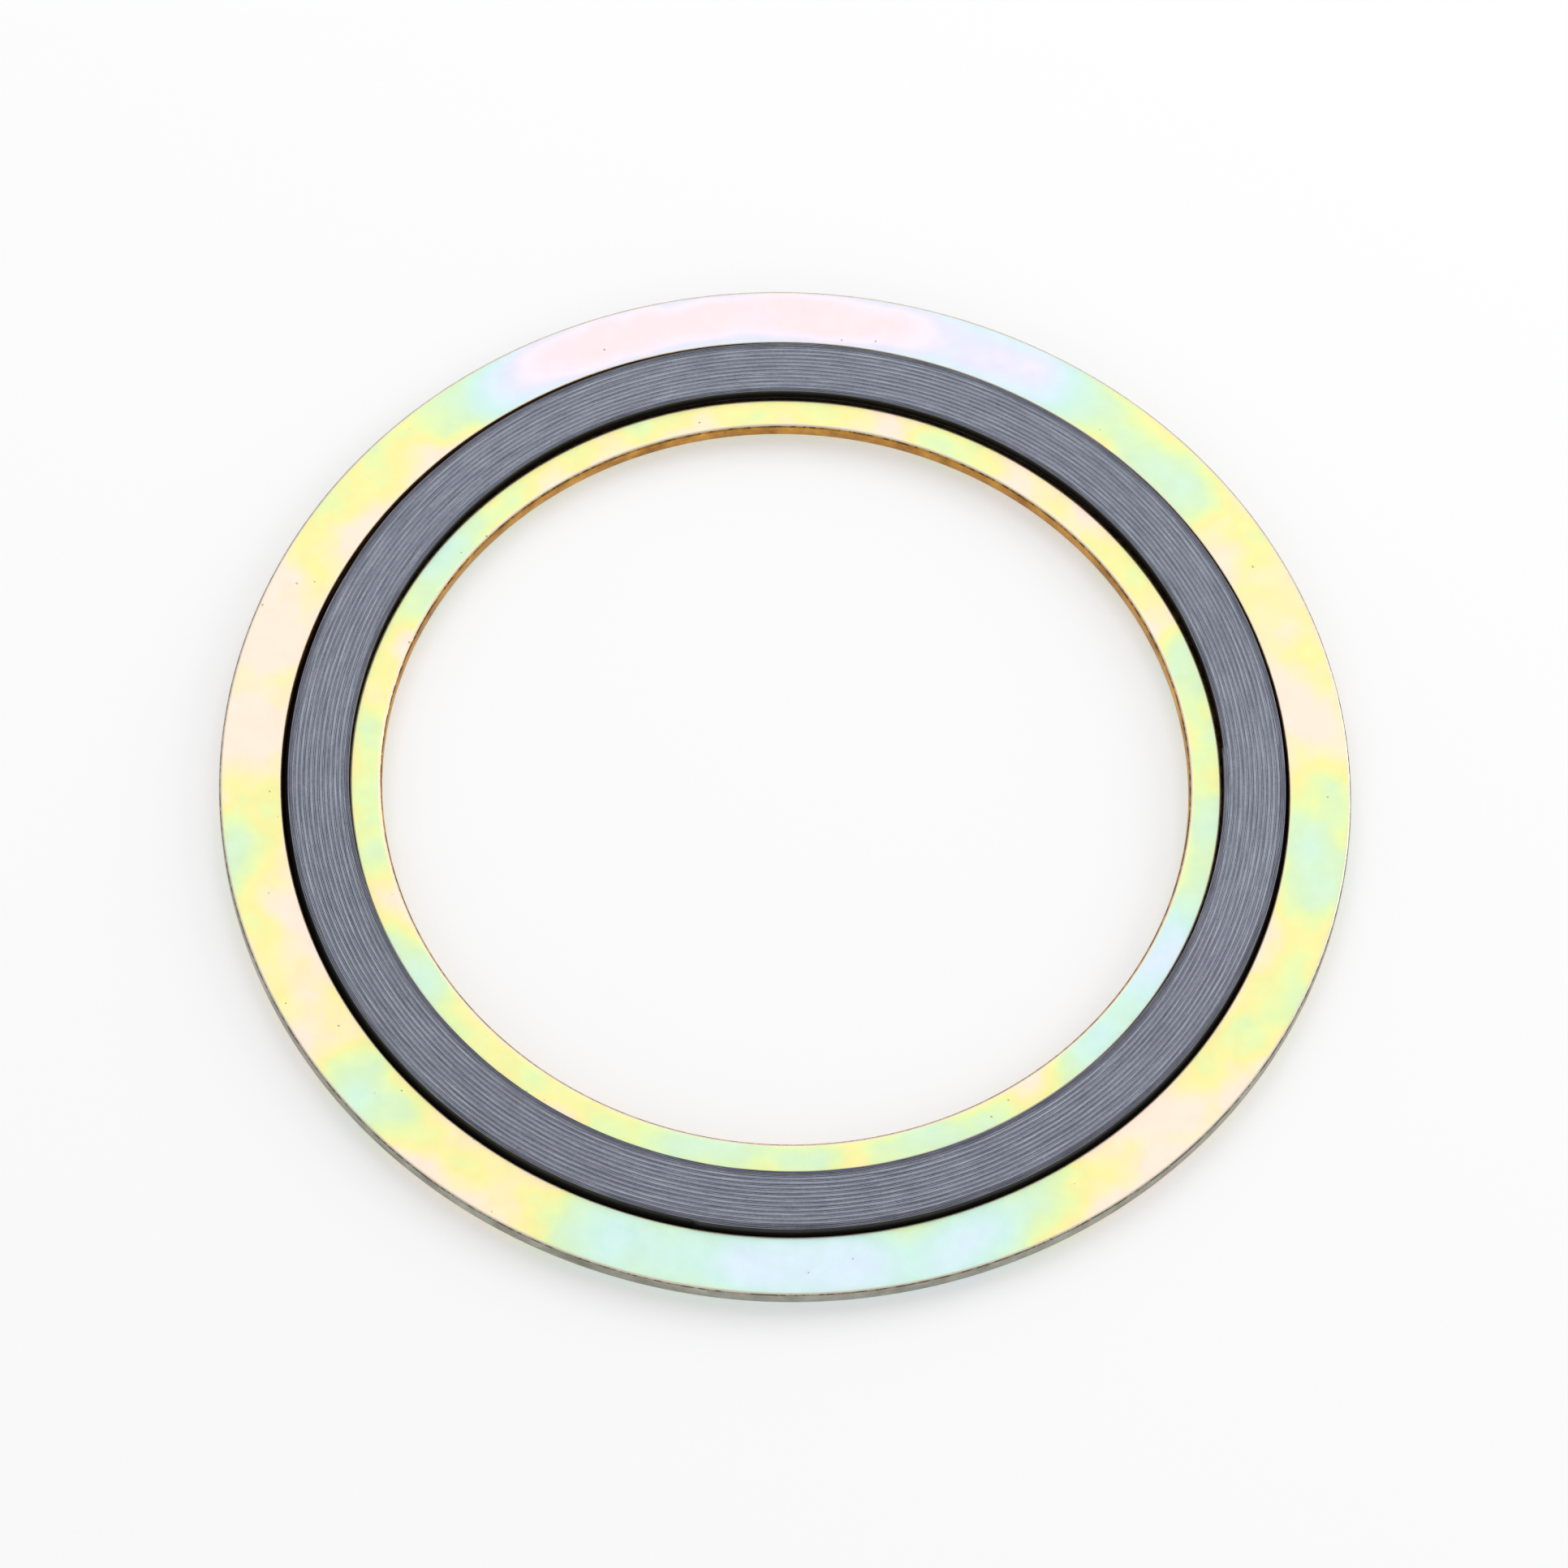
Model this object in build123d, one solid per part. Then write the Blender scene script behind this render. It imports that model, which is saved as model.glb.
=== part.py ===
import os
from math import radians, tan

from build123d import *

# Spiral wound gasket with an inner and an outer ring, lying flat on its winding.
# Millimetres. +Z is the gasket's axis, and the origin is the centre of its underside.

# Widths along the radius, from the bore outwards
bore_diameter = 115.5
inner_ring_width = 4.9  # bore to winding
winding_width = 8.9  # across a sealing face
outer_ring_width = 9.45  # winding to rim

# Rings
ring_thickness = 2.6
bore_edge_break = 0.3  # chamfer round both ends of the bore
rim_edge_break = 0.35  # chamfer round both faces' outer edges
lip_gap = 0.5  # from the winding to the outer ring's faces

# Winding
winding_thickness = 5.2
fold_depth = 0.9  # how far the V of the section stands out at mid height
fold_angle = 90  # of that V, and of the inner ring's edge that nests in it
strip_thickness = 0.2  # metal hoop strip
filler_thickness = 0.6  # graphite between two turns of strip
start_plies = 3  # turns of bare strip next to the bore, spot welded
end_plies = 4  # turns of bare strip at the outside, spot welded
strip_recess = 0.12  # how far the strip's edges lie below the filler

# Play of the rings' V edges in the winding, measured along the radius
seat_clearance = 0.06

bore_radius = bore_diameter / 2
inner_face_radius = bore_radius + inner_ring_width
outer_face_radius = inner_face_radius + winding_width
rim_radius = outer_face_radius + outer_ring_width
mid_height = winding_thickness / 2
ring_top = mid_height + ring_thickness / 2
ring_bottom = mid_height - ring_thickness / 2
pitch = strip_thickness + filler_thickness
fold_half_height = fold_depth / tan(radians(fold_angle / 2))


def turned(outline, arc=360, centre_x=0.0):
    # Revolves an outline of (radius, height) points about a vertical axis.
    face = make_face(Polyline([(centre_x + radius, 0, height) for radius, height in outline], close=True))
    return revolve(face, Axis((centre_x, 0, 0), (0, 0, 1)), arc)


def make_inner_ring():
    nose = inner_face_radius + fold_depth - seat_clearance
    shoulder = nose - ring_thickness / 2 * tan(radians(fold_angle / 2))
    return turned(
        [
            (bore_radius, ring_bottom + bore_edge_break),
            (bore_radius + bore_edge_break, ring_bottom),
            (shoulder, ring_bottom),
            (nose, mid_height),
            (shoulder, ring_top),
            (bore_radius + bore_edge_break, ring_top),
            (bore_radius, ring_top - bore_edge_break),
        ]
    )


def make_outer_ring():
    root = outer_face_radius + fold_depth + seat_clearance
    lip = outer_face_radius + lip_gap
    return turned(
        [
            (rim_radius, ring_bottom + rim_edge_break),
            (rim_radius, ring_top - rim_edge_break),
            (rim_radius - rim_edge_break, ring_top),
            (lip, ring_top),
            (root, mid_height),
            (lip, ring_bottom),
            (rim_radius - rim_edge_break, ring_bottom),
        ]
    )


def half_turns(first_valley, count):
    # What is cut from the upper sealing face over one half of the gasket: a valley down to the strip's edge in
    # each turn, which leaves the filler crowned between them. The centre is a quarter pitch off the axis.
    outline = [(first_valley - pitch / 2, winding_thickness)]
    for turn in range(count):
        valley = first_valley + turn * pitch
        outline.append((valley, winding_thickness - strip_recess))
        outline.append((valley + pitch / 2, winding_thickness))
    last_crest = outline[-1][0]
    outline.append((last_crest, winding_thickness + strip_recess))
    outline.append((first_valley - pitch / 2, winding_thickness + strip_recess))
    return turned(outline, 180, pitch / 4)


def make_winding():
    # The strip and its filler are wound together and can't be parted, so the roll is one solid.
    # Its section is straight by the sealing faces and folded outwards in a V between them.
    roll = turned(
        [
            (inner_face_radius, 0),
            (outer_face_radius, 0),
            (outer_face_radius, mid_height - fold_half_height),
            (outer_face_radius + fold_depth, mid_height),
            (outer_face_radius, mid_height + fold_half_height),
            (outer_face_radius, winding_thickness),
            (inner_face_radius, winding_thickness),
            (inner_face_radius, mid_height + fold_half_height),
            (inner_face_radius + fold_depth, mid_height),
            (inner_face_radius, mid_height - fold_half_height),
        ]
    )
    # The spiral is half turns about two centres. Each starts where the last one ends, half a pitch further out.
    first_valley = inner_face_radius + start_plies * strip_thickness + 0.75 * pitch
    last_valley = outer_face_radius - end_plies * strip_thickness - 0.75 * pitch
    half_turn_count = 1 + int((last_valley - first_valley) / (pitch / 2))
    front_half = half_turns(first_valley, (half_turn_count + 1) // 2)
    back_half = Rot(0, 0, 180) * half_turns(first_valley + pitch / 2, half_turn_count // 2)
    upper_relief = [front_half, back_half]
    lower_relief = [mirror(relief, about=Plane.XY.offset(mid_height)) for relief in upper_relief]
    return roll - upper_relief - lower_relief


os.makedirs("parts", exist_ok=True)
export_step(make_inner_ring(), "parts/inner_ring.step")
export_step(make_outer_ring(), "parts/outer_ring.step")
export_step(make_winding(), "parts/winding.step")
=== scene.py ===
import bpy
import bmesh
import math
from mathutils import Matrix, Vector


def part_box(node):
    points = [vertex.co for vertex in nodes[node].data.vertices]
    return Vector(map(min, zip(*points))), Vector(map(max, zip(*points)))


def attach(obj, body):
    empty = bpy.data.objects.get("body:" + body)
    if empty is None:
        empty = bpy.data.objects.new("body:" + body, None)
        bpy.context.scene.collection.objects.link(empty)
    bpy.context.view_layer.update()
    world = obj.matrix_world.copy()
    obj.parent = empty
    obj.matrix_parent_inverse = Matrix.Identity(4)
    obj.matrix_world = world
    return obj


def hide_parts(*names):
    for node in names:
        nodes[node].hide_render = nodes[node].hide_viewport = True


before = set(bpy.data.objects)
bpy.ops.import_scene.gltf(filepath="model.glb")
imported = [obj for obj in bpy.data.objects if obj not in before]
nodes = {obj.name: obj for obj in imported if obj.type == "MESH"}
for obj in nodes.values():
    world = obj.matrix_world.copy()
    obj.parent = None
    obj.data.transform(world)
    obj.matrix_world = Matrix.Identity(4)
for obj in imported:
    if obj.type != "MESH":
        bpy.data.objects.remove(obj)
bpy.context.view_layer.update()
fullTurn = 2 * math.pi


class Tree:  # short hand for building node trees
    def __init__(self, tree):
        self.tree = tree
        self.nodes = tree.nodes
        self.count = 0

    def add(self, kind, settings=None, **inputs):
        node = self.nodes.new(kind)
        self.count += 1
        node.location = (self.count % 12 * 190, -(self.count // 12) * 320)  # rows of twelve
        for key, value in (settings or {}).items():
            setattr(node, key, value)
        for key, value in inputs.items():
            self.put(node.inputs[key.replace("_", " ")], value)
        return node

    def put(self, socket, value):
        if isinstance(value, bpy.types.NodeSocket):
            self.tree.links.new(value, socket)
        else:
            socket.default_value = value

    def math(self, operation, a, b=0.0, c=0.0):
        node = self.add("ShaderNodeMath", {"operation": operation})
        for socket, value in zip(node.inputs, (a, b, c)):
            self.put(socket, value)
        return node.outputs[0]

    def plus(self, a, b):
        return self.math("ADD", a, b)

    def minus(self, a, b):
        return self.math("SUBTRACT", a, b)

    def times(self, a, b):
        return self.math("MULTIPLY", a, b)

    def over(self, a, b):
        return self.math("DIVIDE", a, b)

    def size(self, a):
        return self.math("ABSOLUTE", a)

    def above(self, a, b):  # 1 or 0
        return self.math("GREATER_THAN", a, b)

    def below(self, a, b):  # 1 or 0
        return self.math("LESS_THAN", a, b)

    def kept(self, a, low, high):
        return self.math("MINIMUM", self.math("MAXIMUM", a, low), high)

    def vector(self, x, y, z):
        return self.add("ShaderNodeCombineXYZ", None, X=x, Y=y, Z=z).outputs[0]

    def parts(self, vector):
        return self.add("ShaderNodeSeparateXYZ", None, Vector=vector).outputs[:]

    def axisDistance(self, x, y):
        return self.math("SQRT", self.plus(self.times(x, x), self.times(y, y)))

    def noise(self, vector, scale, detail, rough, w=None):
        node = self.add("ShaderNodeTexNoise", {"noise_dimensions": "3D" if w is None else "4D"},
                        Vector=vector, Scale=scale, Detail=detail, Roughness=rough)
        if w is not None:
            self.put(node.inputs["W"], w)
        return node.outputs["Fac"]

    def eased(self, value, start, end):  # 0 at start, 1 at end
        node = self.add("ShaderNodeMapRange", {"interpolation_type": "SMOOTHSTEP"}, Value=value)
        node.inputs["From Min"].default_value = start
        node.inputs["From Max"].default_value = end
        return node.outputs[0]

    def ranged(self, value, low, high):  # from 0..1 to low..high
        node = self.add("ShaderNodeMapRange", None, Value=value)
        node.inputs["To Min"].default_value = low
        node.inputs["To Max"].default_value = high
        return node.outputs[0]

    def ramp(self, value, stops):
        node = self.add("ShaderNodeValToRGB", None, Fac=value)
        elements = node.color_ramp.elements
        for i, (position, colour) in enumerate(stops):
            element = elements[i] if i < 2 else elements.new(position)
            element.position = position
            element.color = linear(*colour)
        return node.outputs["Color"]

    def mixed(self, share, first, second):
        node = self.add("ShaderNodeMix", {"data_type": "RGBA"})
        self.put(node.inputs[0], share)
        self.put(node.inputs[6], first)
        self.put(node.inputs[7], second)
        return node.outputs[2]


def linear(r, g, b):  # a colour as seen on screen, 0 to 255, in scene values
    def one(c):
        c /= 255
        return c / 12.92 if c <= 0.04045 else ((c + 0.055) / 1.055) ** 2.4
    return (one(r), one(g), one(b), 1.0)


def newMaterial(name):
    material = bpy.data.materials.new(name)
    material.use_nodes = True
    tree = Tree(material.node_tree)
    tree.nodes.clear()
    return material, tree


def wear(piece, material):
    piece.data.materials.clear()
    piece.data.materials.append(material)


section = {
    "sameCorner": 4e-6,  # vertices nearer than this are one corner
    "narrow": 0.0007,  # a shorter side is a chamfer
    "nearMiddle": 0.0003,
    "nearEdge": 0.001,
}


def turnedSection(nodeName):  # corners of a turned solid's section, in order round it
    corners = []
    for vertex in nodes[nodeName].data.vertices:
        corner = (math.hypot(vertex.co.x, vertex.co.y), vertex.co.z)
        if all(abs(corner[0] - r) + abs(corner[1] - z) > section["sameCorner"] for r, z in corners):
            corners.append(corner)
    middle = Vector((sum(c[0] for c in corners), sum(c[1] for c in corners))) / len(corners)
    return sorted(corners, key=lambda c: math.atan2(c[1] - middle[1], c[0] - middle[0]))


def squaredSection(corners):  # puts a sharp corner where a narrow chamfer was
    square = []
    count = len(corners)
    for i in range(count):
        before, start, end, after = (Vector(corners[(i + k) % count]) for k in (-1, 0, 1, 2))
        if (end - start).length < section["narrow"]:
            first = start - before
            second = end - after
            gap = after - before
            k = (gap.x * second.y - gap.y * second.x) / (first.x * second.y - first.y * second.x)
            square.append(tuple(before + first * k))
        elif (start - before).length >= section["narrow"]:
            square.append(tuple(start))
    return square


def between(first, last, spacing):
    pieces = max(1, math.ceil((last - first).length / spacing))
    return [first.lerp(last, k / pieces) for k in range(1, pieces)]


def softenedSection(corners, roundings, steps, spacing):  # rounds the corners and divides the straights
    outline = []
    for i, corner in enumerate(corners):
        here = Vector(corner)
        before = Vector(corners[i - 1]) - here
        after = Vector(corners[(i + 1) % len(corners)]) - here
        half = before.angle(after) / 2
        setback = min(roundings[i] / math.tan(half), before.length * 0.45, after.length * 0.45)
        fit = setback * math.tan(half)
        centre = here + (before.normalized() + after.normalized()).normalized() * (fit / math.sin(half))
        start = here + before.normalized() * setback - centre
        end = here + after.normalized() * setback - centre
        turn = math.atan2(start.x * end.y - start.y * end.x, start.dot(end))
        arc = []
        for k in range(steps + 1):
            cosine = math.cos(turn * k / steps)
            sine = math.sin(turn * k / steps)
            x = start.x * cosine - start.y * sine
            y = start.x * sine + start.y * cosine
            arc.append(centre + Vector((x, y)))
        if outline:
            outline += between(outline[-1], arc[0], spacing)
        outline += arc
    return outline + between(outline[-1], outline[0], spacing)


def turnedPiece(name, outline, segments):
    mesh = bpy.data.meshes.new(name)
    bm = bmesh.new()
    rows = []
    for s in range(segments):
        angle = fullTurn * s / segments
        rows.append([bm.verts.new((p.x * math.cos(angle), p.x * math.sin(angle), p.y)) for p in outline])
    for s in range(segments):
        here = rows[s]
        beside = rows[(s + 1) % segments]
        for k in range(len(outline)):
            n = (k + 1) % len(outline)
            bm.faces.new((here[k], beside[k], beside[n], here[n]))
    bmesh.ops.recalc_face_normals(bm, faces=bm.faces)
    for face in bm.faces:
        face.smooth = True
    bm.to_mesh(mesh)
    bm.free()
    piece = bpy.data.objects.new(name, mesh)
    bpy.context.scene.collection.objects.link(piece)
    return piece


filmColours = [  # what the passivating film shows as it grows thicker
    (-0.1, (250, 226, 208)), (0.0, (240, 232, 158)), (0.06, (222, 237, 172)), (0.11, (210, 233, 190)),
    (0.21, (203, 233, 212)), (0.30, (200, 231, 223)), (0.45, (213, 228, 241)), (0.57, (222, 222, 241)),
    (0.68, (239, 228, 238)), (0.80, (244, 222, 226)),
]
filmStart = 0.1  # the thinnest film, below zero, that the curve and the colours reach
plating = {
    "outer": {
        "film": [(0, 0.01), (30, 0), (60, 0.36), (80, 0.7), (105, 0.72), (122, 0.38), (138, 0), (165, -0.02),
                 (200, 0.01), (238, 0.11), (270, 0.37), (287, 0.3), (302, 0.03), (325, -0.02), (345, 0.06),
                 (360, 0.01)],  # degrees round the ring, thickness
        "patch": 0.3,
        "edgeDrop": 0.28,  # how much thinner it is by the edges
        "mottle": 55.0,
        "boreWall": ((134, 84, 40), (190, 134, 70)),
        "rimWall": ((132, 128, 114), (184, 182, 170)),
        "seed": 3.0,
    },
    "inner": {
        "film": [(0, 0.09), (15, 0.14), (30, 0), (60, 0), (90, -0.04), (120, 0), (138, 0.11), (165, 0.08),
                 (210, 0.055), (255, 0.06), (290, 0.1), (315, 0.2), (330, 0.33), (345, 0.15), (360, 0.09)],
        "patch": 0.26,
        "edgeDrop": 0.1,
        "mottle": 75.0,
        "boreWall": ((150, 98, 30), (224, 168, 76)),
        "rimWall": ((120, 84, 44), (176, 132, 74)),
        "seed": 8.0,
    },
}
platedEdge = {  # pairs are how level the surface is where a band starts and where it is full
    # the pale band is a painted highlight where the rounded edges start to turn down
    "pale": (0.9995, 0.96), "edgeHighlightColour": (252, 240, 216),
    "wall": (0.86, 0.7), "wallGrain": 260.0,
    # the line is painted shade, broken by noise, where the rounded edges turn steep
    "lineOutside": (0.85, 0.75), "lineInside": (0.45, 0.6), "lineGrain": 900.0, "lineBreaks": (0.44, 0.56),
    "edgeShadeShare": 0.75, "edgeShadeColour": (52, 44, 34),
}
platedSpecks = {"scale": 800.0, "cleanShare": 0.93, "largest": 0.17, "strength": 0.5, "colour": (70, 64, 56)}
platedFinish = {
    "metallic": 0.85, "rough": (0.3, 0.48), "roughScale": 380.0,
    "grain": {"scale": 1400.0, "strength": 0.06, "height": 0.0002},
    "dents": {"scale": 70.0, "strength": 0.1, "height": 0.001},
}


def filmThickness(t, look, share, across, noise):  # by angle, thinner at the edges, with soft patches
    curve = t.add("ShaderNodeFloatCurve", None, Value=share)
    points = curve.mapping.curves[0].points
    film = look["film"]
    for i, (degrees, depth) in enumerate(film):
        spot = (degrees / 360, depth + filmStart)
        if i == 0:
            points[0].location = spot
        elif i == len(film) - 1:
            points[-1].location = spot
        else:
            points.new(*spot)
    curve.mapping.update()
    broad = t.minus(noise(look["mottle"], 1.0, 0.5, 0), 0.5)
    fine = t.minus(noise(look["mottle"] * 2.6, 2.0, 0.5, 4), 0.5)
    atEdge = t.math("POWER", t.size(t.minus(t.times(across, 2.0), 1.0)), 2.5)
    middle = t.minus(1.0, atEdge)
    drop = t.math("MULTIPLY_ADD", middle, look["edgeDrop"] * 1.4, 1 - look["edgeDrop"])
    depth = t.times(t.minus(curve.outputs[0], filmStart), drop)
    depth = t.plus(depth, t.times(broad, look["patch"] * 2.4))
    depth = t.plus(depth, t.times(fine, look["patch"] * 0.9))
    return t.minus(depth, t.times(atEdge, 0.05))


def edgeColour(t, look, faceColour, across, noise):  # a thick film on cut edges, a painted highlight where the rounded edges start, and a broken line of painted shade where they turn steep
    normal = t.add("ShaderNodeNewGeometry").outputs["Normal"]
    up = t.size(t.parts(normal)[2])
    edge = platedEdge
    grain = noise(edge["wallGrain"], 3.0, 0.6, 11)
    boreWall = t.ramp(grain, [(0.3, look["boreWall"][0]), (0.7, look["boreWall"][1])])
    rimWall = t.ramp(grain, [(0.3, look["rimWall"][0]), (0.7, look["rimWall"][1])])
    wall = t.mixed(t.above(across, 0.5), boreWall, rimWall)
    # painted highlight: a near-white band where each rounded edge starts
    colour = t.mixed(t.eased(up, *edge["pale"]), faceColour, linear(*edge["edgeHighlightColour"]))
    colour = t.mixed(t.eased(up, *edge["wall"]), colour, wall)
    # painted shade: a broken dark band where each rounded edge turns steep
    ragged = t.times(t.eased(noise(edge["lineGrain"], 3.0, 0.7, 13), *edge["lineBreaks"]), edge["edgeShadeShare"])
    line = t.times(t.eased(up, *edge["lineOutside"]), t.eased(up, *edge["lineInside"]))
    return t.mixed(t.times(line, ragged), colour, linear(*edge["edgeShadeColour"]))


def speckled(t, place, colour):  # specks of dirt
    speck = t.add("ShaderNodeTexVoronoi", {"feature": "F1"}, Vector=place, Scale=platedSpecks["scale"])
    chance = t.parts(speck.outputs["Color"])
    chosen = t.above(chance[0], platedSpecks["cleanShare"])
    dot = t.below(speck.outputs["Distance"], t.times(chance[1], platedSpecks["largest"]))
    dirt = t.times(t.times(chosen, dot), platedSpecks["strength"])
    return t.mixed(dirt, colour, linear(*platedSpecks["colour"]))


def platingMaterial(name, look, rMin, rMax):
    material, t = newMaterial(name)
    place = t.add("ShaderNodeTexCoord").outputs["Object"]
    x, y = t.parts(place)[:2]
    share = t.math("FRACT", t.over(t.math("ARCTAN2", y, x), fullTurn))
    across = t.over(t.minus(t.axisDistance(x, y), rMin), rMax - rMin)

    def noise(scale, detail, rough, shift):
        return t.noise(place, scale, detail, rough, look["seed"] + shift)

    depth = filmThickness(t, look, share, across, noise)
    film = [(depthHere + filmStart, colour) for depthHere, colour in filmColours]
    faceColour = t.ramp(t.plus(depth, filmStart), film)
    colour = speckled(t, place, edgeColour(t, look, faceColour, across, noise))
    roughness = t.ranged(noise(platedFinish["roughScale"], 4.0, 0.65, 2), *platedFinish["rough"])
    grain = platedFinish["grain"]
    dents = platedFinish["dents"]
    bumpFine = t.add("ShaderNodeBump", None, Height=noise(grain["scale"], 3.0, 0.6, 7),
                     Strength=grain["strength"], Distance=grain["height"])
    bump = t.add("ShaderNodeBump", None, Height=noise(dents["scale"], 2.0, 0.5, 9),
                 Strength=dents["strength"], Distance=dents["height"], Normal=bumpFine.outputs[0])
    shader = t.add("ShaderNodeBsdfPrincipled", None, Metallic=platedFinish["metallic"], Roughness=roughness,
                   Normal=bump.outputs[0], Base_Color=colour)
    t.add("ShaderNodeOutputMaterial", None, Surface=shader.outputs[0])
    return material


print("rings")
ring = {
    "segments": 720, "edgeSteps": 7, "spacing": 0.0007,
    "rounding": {
        "bore": 0.0007, "shoulder": 0.0005, "nose": 0.0002,
        "lip": 0.0008, "root": 0.0001, "rim": 0.0005,
    },
    "lipReach": 0.00035,  # the lip's rolled edge comes this much nearer the winding than its face does
}


def cornerKind(corner, radii, middle, isInner):
    if abs(corner[1] - middle) < section["nearMiddle"]:
        return "nose" if isInner else "root"
    if isInner:
        return "bore" if corner[0] < min(radii) + section["nearEdge"] else "shoulder"
    return "rim" if corner[0] > max(radii) - section["nearEdge"] else "lip"


def ringPiece(nodeName, pieceName, lookName):
    corners = squaredSection(turnedSection(nodeName))
    radii = [c[0] for c in corners]
    middle = sum(c[1] for c in corners) / len(corners)
    kinds = [cornerKind(c, radii, middle, lookName == "inner") for c in corners]
    corners = [(r - ring["lipReach"], z) if kind == "lip" else (r, z) for (r, z), kind in zip(corners, kinds)]
    roundings = [ring["rounding"][kind] for kind in kinds]
    outline = softenedSection(corners, roundings, ring["edgeSteps"], ring["spacing"])
    piece = turnedPiece(pieceName, outline, ring["segments"])
    wear(piece, platingMaterial(pieceName + "Plating", plating[lookName], min(radii), max(radii)))
    print(pieceName, kinds, len(outline), "points")
    return piece


outerRing = ringPiece("outer_ring", "outerRing", "outer")
innerRing = ringPiece("inner_ring", "innerRing", "inner")

print("winding")
windingCorners = nodes["winding"].data.vertices
windingRadii = [math.hypot(v.co.x, v.co.y) for v in windingCorners]
low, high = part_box("winding")
topRadii = [r for r, v in zip(windingRadii, windingCorners) if v.co.z > high.z - 1e-5]
winding = {
    "innerRadius": min(topRadii),
    "outerRadius": max(topRadii),
    "fold": max(windingRadii) - max(topRadii),
    "height": high.z - low.z,
    "strip": 0.0002,
    "startPlies": 3,
    "endPlies": 4,
    "recess": 0.00005,  # how far the faces dip at the seams
    "pitch": 0.0007,  # about, until whole turns are fitted
    "startAngle": 3.0,
    "endAngle": 258.0,
    "shoulder": 0.97,  # share of the height where the top's edges start to draw in
    "unevenness": 0.00016,
    "outOfRound": 0.0003,
    "seed": 5.0,
    "perTurn": 300,
}
extra = (winding["startAngle"] - winding["endAngle"]) % 360 / 360  # the part turn that ends the tail there
bareTurns = winding["startPlies"] + winding["endPlies"] + extra
free = winding["outerRadius"] - winding["innerRadius"] - bareTurns * winding["strip"]
winding["turns"] = round(free / winding["pitch"])
winding["pitch"] = free / winding["turns"]
print({key: round(value, 6) for key, value in winding.items()})


spiralSizes = (
    "Inner Radius", "Strip", "Pitch", "Start Plies", "Filled Turns", "End Plies", "Height", "Fold", "Recess",
    "Start Angle", "Unevenness", "Out Of Round", "Seed",
)


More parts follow.
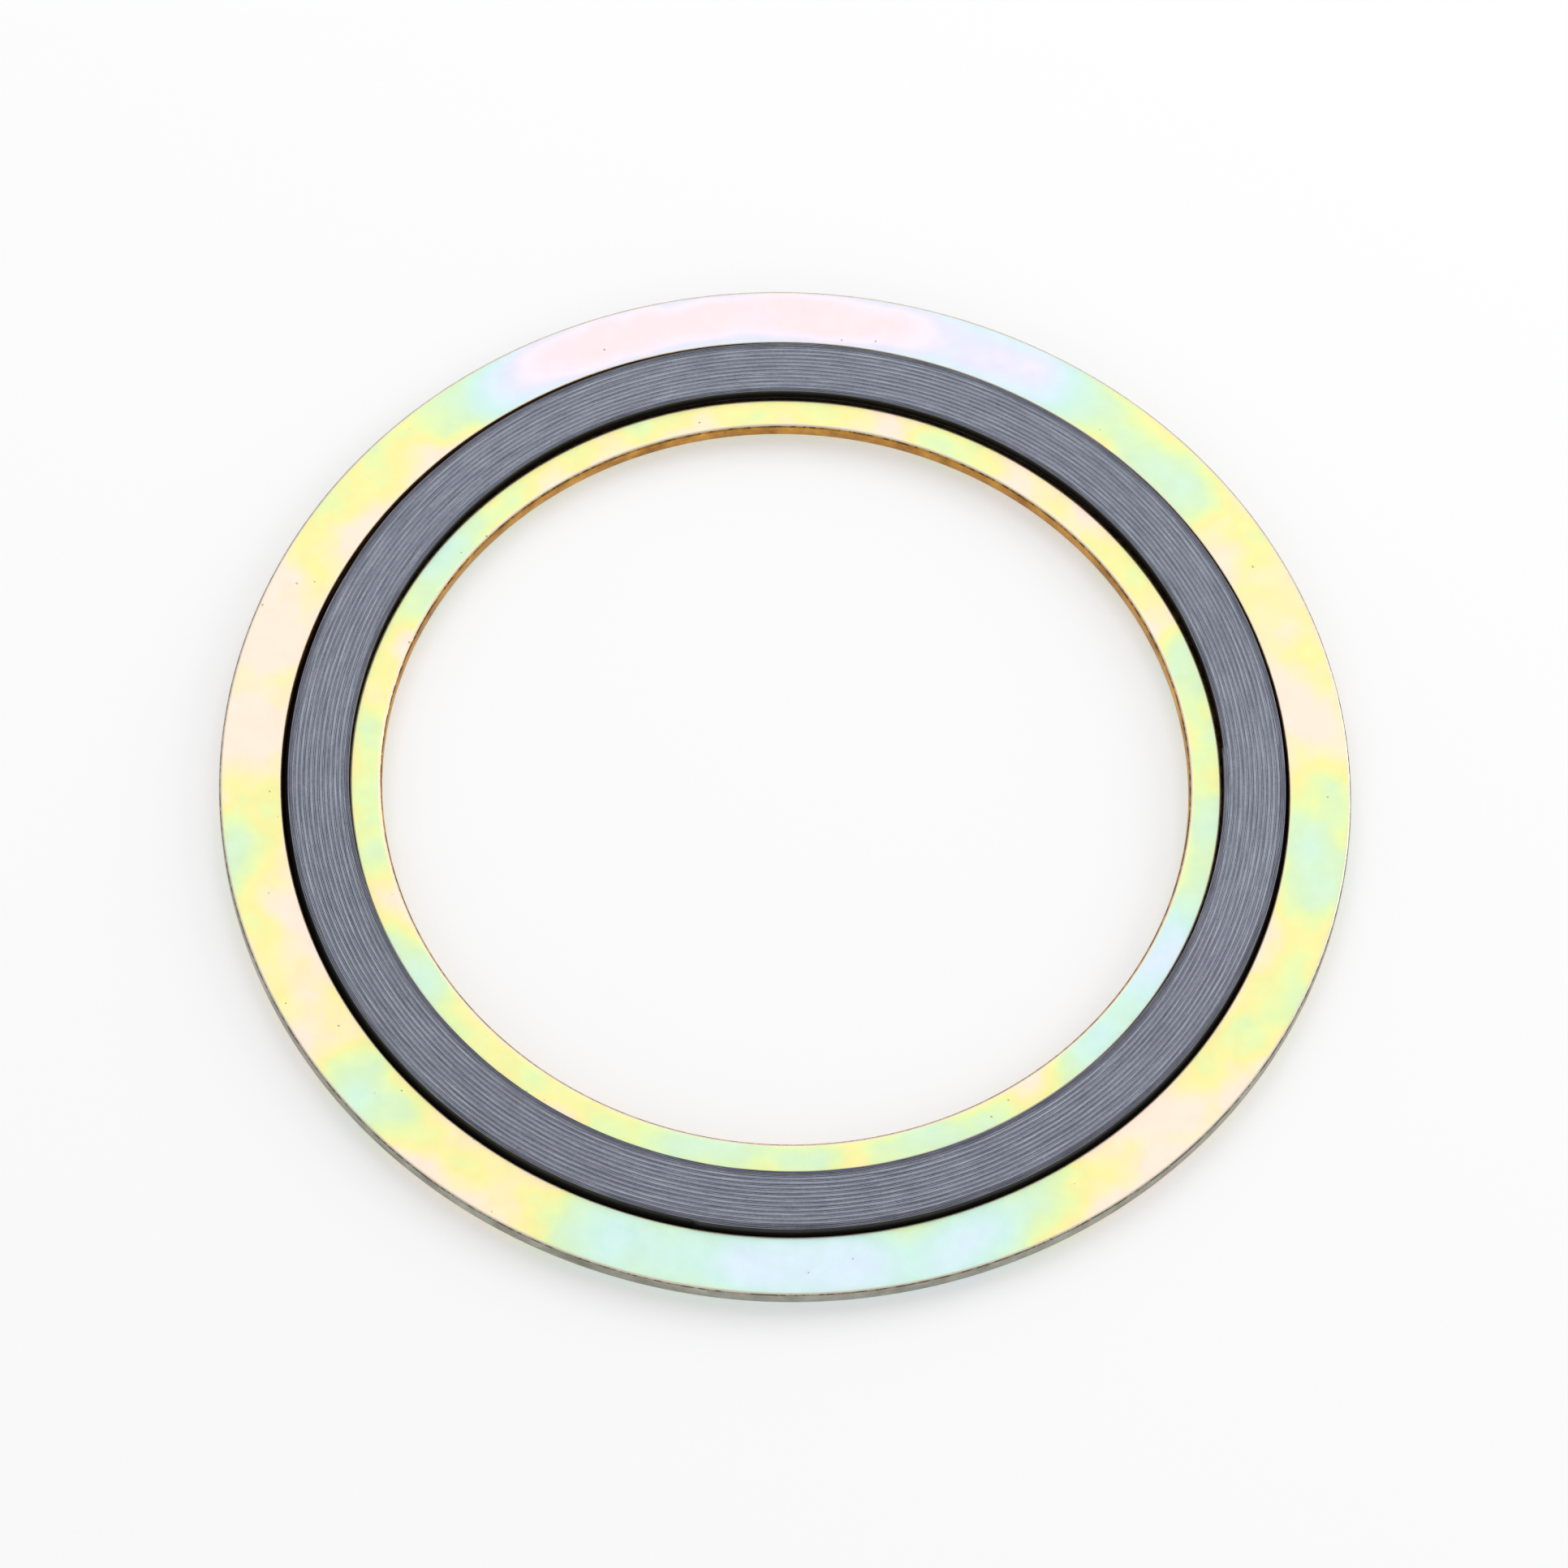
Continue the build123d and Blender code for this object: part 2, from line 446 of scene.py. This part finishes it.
def spiralTree(name, filler):  # a bar bent into the strip, or into the filler between its turns
    tree = bpy.data.node_groups.new(name, "GeometryNodeTree")
    tree.interface.new_socket("Geometry", in_out="OUTPUT", socket_type="NodeSocketGeometry")
    for label in spiralSizes:
        tree.interface.new_socket(label, in_out="INPUT", socket_type="NodeSocketFloat")
    tree.interface.new_socket("Points", in_out="INPUT", socket_type="NodeSocketInt")
    tree.interface.new_socket("Finish", in_out="INPUT", socket_type="NodeSocketMaterial")
    t = Tree(tree)
    given = t.add("NodeGroupInput").outputs
    strip = given["Strip"]
    pitch = given["Pitch"]
    first = given["Start Plies"]
    filled = given["Filled Turns"]
    last = given["End Plies"]
    halfHeight = t.times(given["Height"], 0.5)
    begin = first if filler else 0.0
    length = t.plus(filled, 1.0) if filler else t.plus(t.plus(first, filled), last)
    bar = t.add("GeometryNodeMeshCube", None, Size=t.vector(length, 1.0, 1.0), Vertices_X=given["Points"],
                Vertices_Y=7 if filler else 3, Vertices_Z=7)
    x, side, z = t.parts(t.add("GeometryNodeInputPosition").outputs[0])
    turn = t.plus(t.plus(x, t.times(length, 0.5)), begin)  # turns from the strip's start
    angle = t.minus(given["Start Angle"], t.times(turn, fullTurn))
    level = t.times(z, 2.0)  # -1 below, 1 above
    steep = t.size(level)
    onLeg = t.above(steep, 0.5)
    atTop = t.above(steep, 0.8)
    onFold = t.times(t.over(given["Fold"], halfHeight), t.times(steep, 3.0))
    legLevel = t.math("MULTIPLY_ADD", atTop, 1 - winding["shoulder"], winding["shoulder"])
    bent = t.plus(t.times(t.minus(1.0, onLeg), onFold), t.times(onLeg, legLevel))

    def wander(atTurn, scale, apart):  # slow unevenness, alike in neighbouring turns when apart is small
        at = t.times(atTurn, -fullTurn)
        x = t.times(t.math("COSINE", at), scale)
        y = t.times(t.math("SINE", at), scale)
        noise = t.noise(t.vector(x, y, t.times(atTurn, apart)), 1.0, 2.0, 0.55, given["Seed"])
        return t.minus(noise, 0.5)

    def reach(atTurn):  # middle of the strip at a turn, beyond the inner radius
        bare = t.math("MINIMUM", atTurn, first)
        past = t.kept(t.minus(atTurn, first), 0.0, filled)
        after = t.math("MAXIMUM", t.minus(atTurn, t.plus(first, filled)), 0.0)
        even = t.plus(t.times(strip, t.plus(bare, after)), t.times(pitch, past))
        return t.plus(even, t.times(wander(atTurn, 7.0, 0.35), given["Unevenness"]))

    def ragged(scale, apart):  # how far the top lies low here
        return t.times(t.plus(wander(turn, scale, apart), 0.5), t.times(given["Recess"], 0.8))

    def bulge(towards, power):  # 1 where the gasket faces that way, 0 on its far half
        facing = t.math("COSINE", t.minus(angle, math.radians(towards)))
        return t.math("POWER", t.math("MAXIMUM", facing, 0.0), power)

    here = reach(turn)
    if filler:
        behind = reach(t.minus(turn, 1.0))
        room = t.math("MAXIMUM", t.minus(t.minus(here, behind), strip), 0.00001)
        middle = t.times(t.plus(here, behind), 0.5)
        across = t.times(side, room)
        crown = t.times(t.math("POWER", t.size(t.times(side, 2.0)), 3.0), given["Recess"])
        lower = t.plus(crown, ragged(30.0, 3.0))
    else:
        middle = here
        across = t.times(t.times(side, strip), t.minus(0.93, t.times(atTop, 0.2)))
        inFill = t.kept(t.minus(turn, first), 0.0, 1.0)
        outFill = t.kept(t.minus(t.plus(first, filled), turn), 0.0, 1.0)
        sunk = t.times(given["Recess"], t.times(t.times(inFill, outFill), 1.2))
        lower = t.plus(sunk, ragged(24.0, 5.0))
    up = t.times(t.times(t.math("SIGN", level), bent), t.minus(halfHeight, lower))
    folded = t.math("MAXIMUM", t.minus(given["Fold"], t.size(up)), 0.0)  # the V between two straight legs
    out = t.plus(t.plus(given["Inner Radius"], middle), t.plus(across, folded))

    # the roll is a little out of round, by different amounts at its two sides
    share = t.over(middle, t.plus(t.times(strip, t.plus(first, last)), t.times(pitch, filled)))
    atInner = t.minus(t.times(bulge(80, 1.0), 1.0), bulge(190, 1.0))
    atOuter = t.times(bulge(135, 2.0), -1.3)
    offRound = t.plus(t.times(t.minus(1.0, share), atInner), t.times(share, atOuter))
    out = t.plus(out, t.times(offRound, given["Out Of Round"]))

    marked = t.add("GeometryNodeStoreNamedAttribute", {"data_type": "FLOAT_VECTOR", "domain": "POINT"},
                   Geometry=bar.outputs["Mesh"], Name="strandPlace", Value=t.vector(turn, side, level))
    alongX = t.times(out, t.math("COSINE", angle))
    alongY = t.times(out, t.math("SINE", angle))
    spot = t.vector(alongX, alongY, t.plus(up, halfHeight))
    placed = t.add("GeometryNodeSetPosition", None, Geometry=marked.outputs[0], Position=spot)
    joined = t.add("GeometryNodeRealizeInstances", None, Geometry=placed.outputs[0])
    smooth = t.add("GeometryNodeSetShadeSmooth", None, Geometry=joined.outputs[0])
    finished = t.add("GeometryNodeSetMaterial", None, Geometry=smooth.outputs[0], Material=given["Finish"])
    t.add("NodeGroupOutput", None, Geometry=finished.outputs[0])
    return tree


def grown(name, tree, values):  # runs a node tree once and keeps its mesh
    holder = bpy.data.objects.new(name + "Seed", bpy.data.meshes.new(name + "Seed"))
    bpy.context.scene.collection.objects.link(holder)
    modifier = holder.modifiers.new(name, "NODES")
    modifier.node_group = tree
    for item in tree.interface.items_tree:
        if item.item_type == "SOCKET" and item.in_out == "INPUT":
            modifier[item.identifier] = values[item.name]
    mesh = bpy.data.meshes.new_from_object(holder.evaluated_get(bpy.context.evaluated_depsgraph_get()))
    mesh.name = name
    bpy.data.objects.remove(holder)
    bm = bmesh.new()
    bm.from_mesh(mesh)
    bmesh.ops.recalc_face_normals(bm, faces=bm.faces)
    bm.to_mesh(mesh)
    bm.free()
    piece = bpy.data.objects.new(name, mesh)
    bpy.context.scene.collection.objects.link(piece)
    mesh.calc_loop_triangles()
    print(name, len(mesh.loop_triangles), "triangles")
    return piece


strandLook = {
    "hoopStrip": {
        "dark": (104, 106, 118), "mid": (142, 147, 161), "light": (186, 190, 202),
        "metallic": 0.75, "rough": (0.45, 0.3), "seed": 2.0,
    },
    "graphiteFiller": {
        "dark": (112, 116, 130), "mid": (143, 148, 162), "light": (172, 177, 190),
        "metallic": 0.6, "rough": (0.52, 0.36), "seed": 6.0,
    },
}
strandWear = {  # streaks are given by how often they change round the roll, and across it
    "grain": 2600.0, "grainShare": 0.2,
    "fineStreak": (9.0, 4200.0), "fineShare": 0.6,
    "broadStreak": (16.0, 1500.0), "broadShare": 0.4,
    "tones": (0.34, 0.5, 0.68),
    "seam": (0.36, 0.5), "seamStreak": (7.0, 900.0), "seamBreaks": (0.42, 0.62), "seamShare": 0.55,
    "seamColour": (70, 72, 84),
    "nickStreak": (130.0, 2600.0), "nicks": (0.7, 0.76), "nickShare": 0.7, "nickDepth": 0.5,
    "nickColour": (62, 63, 72),
    "bareShare": 0.45, "bareColour": (84, 85, 98),
    # the walls get painted shade, for the narrow corners they stand in by the rings
    "shadedWallLevel": 0.95, "shadedWallShare": 0.9, "shadedWallColour": (66, 66, 60),
    "bump": 0.35, "bumpHeight": 0.00008,
}


def strandMaterial(name, look, lastBare):  # lastBare is the turn after which no filler follows
    material, t = newMaterial(name)
    strandPlace = t.add("ShaderNodeAttribute", {"attribute_name": "strandPlace"}).outputs["Vector"]
    turn, side, level = t.parts(strandPlace)
    place = t.add("ShaderNodeTexCoord").outputs["Object"]
    x, y = t.parts(place)[:2]
    radius = t.axisDistance(x, y)
    cosine = t.over(x, radius)
    sine = t.over(y, radius)

    def drawn(streak, shift, detail=3.0, rough=0.6):  # noise drawn out along the turns
        around, across = streak
        spot = t.vector(t.times(cosine, around), t.times(sine, around), t.times(radius, across))
        return t.noise(spot, 1.0, detail, rough, look["seed"] + shift)

    grain = t.times(t.noise(place, strandWear["grain"], 3.0, 0.6), strandWear["grainShare"])
    fine = t.times(drawn(strandWear["fineStreak"], 0), strandWear["fineShare"])
    streak = t.plus(fine, t.times(drawn(strandWear["broadStreak"], 3), strandWear["broadShare"]))
    tone = t.plus(t.times(streak, 1 - strandWear["grainShare"]), grain)
    colour = t.ramp(tone, list(zip(strandWear["tones"], (look["dark"], look["mid"], look["light"]))))

    # seams between turns show as broken dark lines, with nicks torn in the graphite here and there
    breaks = t.eased(drawn(strandWear["seamStreak"], 5), *strandWear["seamBreaks"])
    seam = t.times(t.eased(t.size(side), *strandWear["seam"]), breaks)
    colour = t.mixed(t.times(seam, strandWear["seamShare"]), colour, linear(*strandWear["seamColour"]))
    nick = t.eased(drawn(strandWear["nickStreak"], 9, 2.0, 0.5), *strandWear["nicks"])
    colour = t.mixed(t.times(nick, strandWear["nickShare"]), colour, linear(*strandWear["nickColour"]))

    # bare plies at the two sides are darker than the pressed graphite, and the walls are darker still with
    # painted shade
    bare = t.math("MAXIMUM", t.below(turn, float(winding["startPlies"])), t.above(turn, lastBare))
    colour = t.mixed(t.times(bare, strandWear["bareShare"]), colour, linear(*strandWear["bareColour"]))
    # painted shade on the side walls of strip and filler
    wall = t.below(t.size(level), strandWear["shadedWallLevel"])
    colour = t.mixed(t.times(wall, strandWear["shadedWallShare"]), colour, linear(*strandWear["shadedWallColour"]))

    height = t.minus(t.plus(streak, grain), t.times(nick, strandWear["nickDepth"]))
    bump = t.add("ShaderNodeBump", None, Height=height, Strength=strandWear["bump"],
                 Distance=strandWear["bumpHeight"])
    shader = t.add("ShaderNodeBsdfPrincipled", None, Metallic=look["metallic"],
                   Roughness=t.ranged(streak, *look["rough"]), Normal=bump.outputs[0], Base_Color=colour)
    t.add("ShaderNodeOutputMaterial", None, Surface=shader.outputs[0])
    return material


filledEnd = float(winding["startPlies"] + winding["turns"])
shared = {
    "Inner Radius": winding["innerRadius"] + winding["strip"] / 2,
    "Strip": winding["strip"],
    "Pitch": winding["pitch"],
    "Start Plies": float(winding["startPlies"]),
    "Filled Turns": float(winding["turns"]),
    "End Plies": winding["endPlies"] - 1.0 + extra,
    "Height": winding["height"],
    "Fold": winding["fold"],
    "Recess": winding["recess"],
    "Start Angle": math.radians(winding["startAngle"]),
    "Unevenness": winding["unevenness"],
    "Out Of Round": winding["outOfRound"],
    "Seed": winding["seed"],
}
stripTurns = filledEnd + shared["End Plies"]
hoopStrip = grown("hoopStrip", spiralTree("hoopStripSpiral", False), dict(
    shared, Points=int(stripTurns * winding["perTurn"]),
    Finish=strandMaterial("hoopMetal", strandLook["hoopStrip"], filledEnd)))
graphiteFiller = grown("graphiteFiller", spiralTree("graphiteSpiral", True), dict(
    shared, Points=int((winding["turns"] + 1) * winding["perTurn"]),
    Finish=strandMaterial("pressedGraphite", strandLook["graphiteFiller"], stripTurns)))

for piece, node, slotName in (
    (outerRing, "outer_ring", "ring_plating"),
    (innerRing, "inner_ring", "ring_plating"),
    (hoopStrip, "winding", "winding"),
    (graphiteFiller, "winding", "graphite"),
):
    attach(piece, "root")
    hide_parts(node)

print("stage")
studio = {"floorSize": 40, "floorColour": (238, 238, 239), "floorGlow": 0.3, "sky": 0.5}
bpy.ops.mesh.primitive_plane_add(size=studio["floorSize"])
floor = bpy.context.object
floor.name = "floor"
floorMaterial, t = newMaterial("paleFloor")
diffuse = t.add("ShaderNodeBsdfDiffuse", None, Color=linear(*studio["floorColour"]))
glow = t.add("ShaderNodeEmission", None, Color=(1, 1, 1, 1), Strength=studio["floorGlow"])
both = t.add("ShaderNodeAddShader")
t.put(both.inputs[0], diffuse.outputs[0])
t.put(both.inputs[1], glow.outputs[0])
t.add("ShaderNodeOutputMaterial", None, Surface=both.outputs[0])
wear(floor, floorMaterial)

scene = bpy.context.scene
scene.world = bpy.data.worlds.new("studio")
scene.world.use_nodes = True
t = Tree(scene.world.node_tree)
t.nodes.clear()
sky = t.add("ShaderNodeBackground", None, Color=(1, 1, 1, 1), Strength=studio["sky"])
t.add("ShaderNodeOutputWorld", None, Surface=sky.outputs[0])

lights = {
    "ceilingBox": {"direction": (0.04, 0.5, 0.86), "distance": 1.3, "size": 1.4, "power": 5.6},
    "rightBox": {"direction": (0.86, 0.35, 0.36), "distance": 1.3, "size": 0.7, "power": 3.0},
    "frontBox": {"direction": (-0.3, -0.85, 0.42), "distance": 1.5, "size": 0.7, "power": 0.9},
}
for name, spec in lights.items():
    lampData = bpy.data.lights.new(name, "AREA")
    lampData.energy = spec["power"]
    lampData.size = spec["size"]
    lamp = bpy.data.objects.new(name, lampData)
    scene.collection.objects.link(lamp)
    direction = Vector(spec["direction"]).normalized()
    lamp.location = direction * spec["distance"]
    lamp.rotation_euler = direction.to_track_quat("Z", "Y").to_euler()

cameraSpot = {
    "distance": 1.1024, "elevation": 62.44, "azimuth": 4.22, "roll": 3.21,
    "aim": (-0.00033, -0.00124), "focal": 177.0, "sensor": 36,
}
elevation, azimuth, roll = (math.radians(cameraSpot[key]) for key in ("elevation", "azimuth", "roll"))
flat = math.cos(elevation)
ahead = Vector((flat * math.sin(azimuth), flat * math.cos(azimuth), -math.sin(elevation)))
levelRight = Vector((math.cos(azimuth), -math.sin(azimuth), 0))
levelUp = levelRight.cross(ahead)
right = levelRight * math.cos(roll) + levelUp * math.sin(roll)
up = levelUp * math.cos(roll) - levelRight * math.sin(roll)
aim = Vector((*cameraSpot["aim"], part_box("outer_ring")[1].z))
cameraData = bpy.data.cameras.new("camera")
cameraData.lens = cameraSpot["focal"]
cameraData.sensor_width = cameraSpot["sensor"]
cameraData.clip_start = 0.01
camera = bpy.data.objects.new("camera", cameraData)
scene.collection.objects.link(camera)
facing = Matrix((right, up, -ahead)).transposed().to_4x4()
camera.matrix_world = Matrix.Translation(aim - ahead * cameraSpot["distance"]) @ facing
scene.camera = camera
scene.view_settings.view_transform = "Standard"
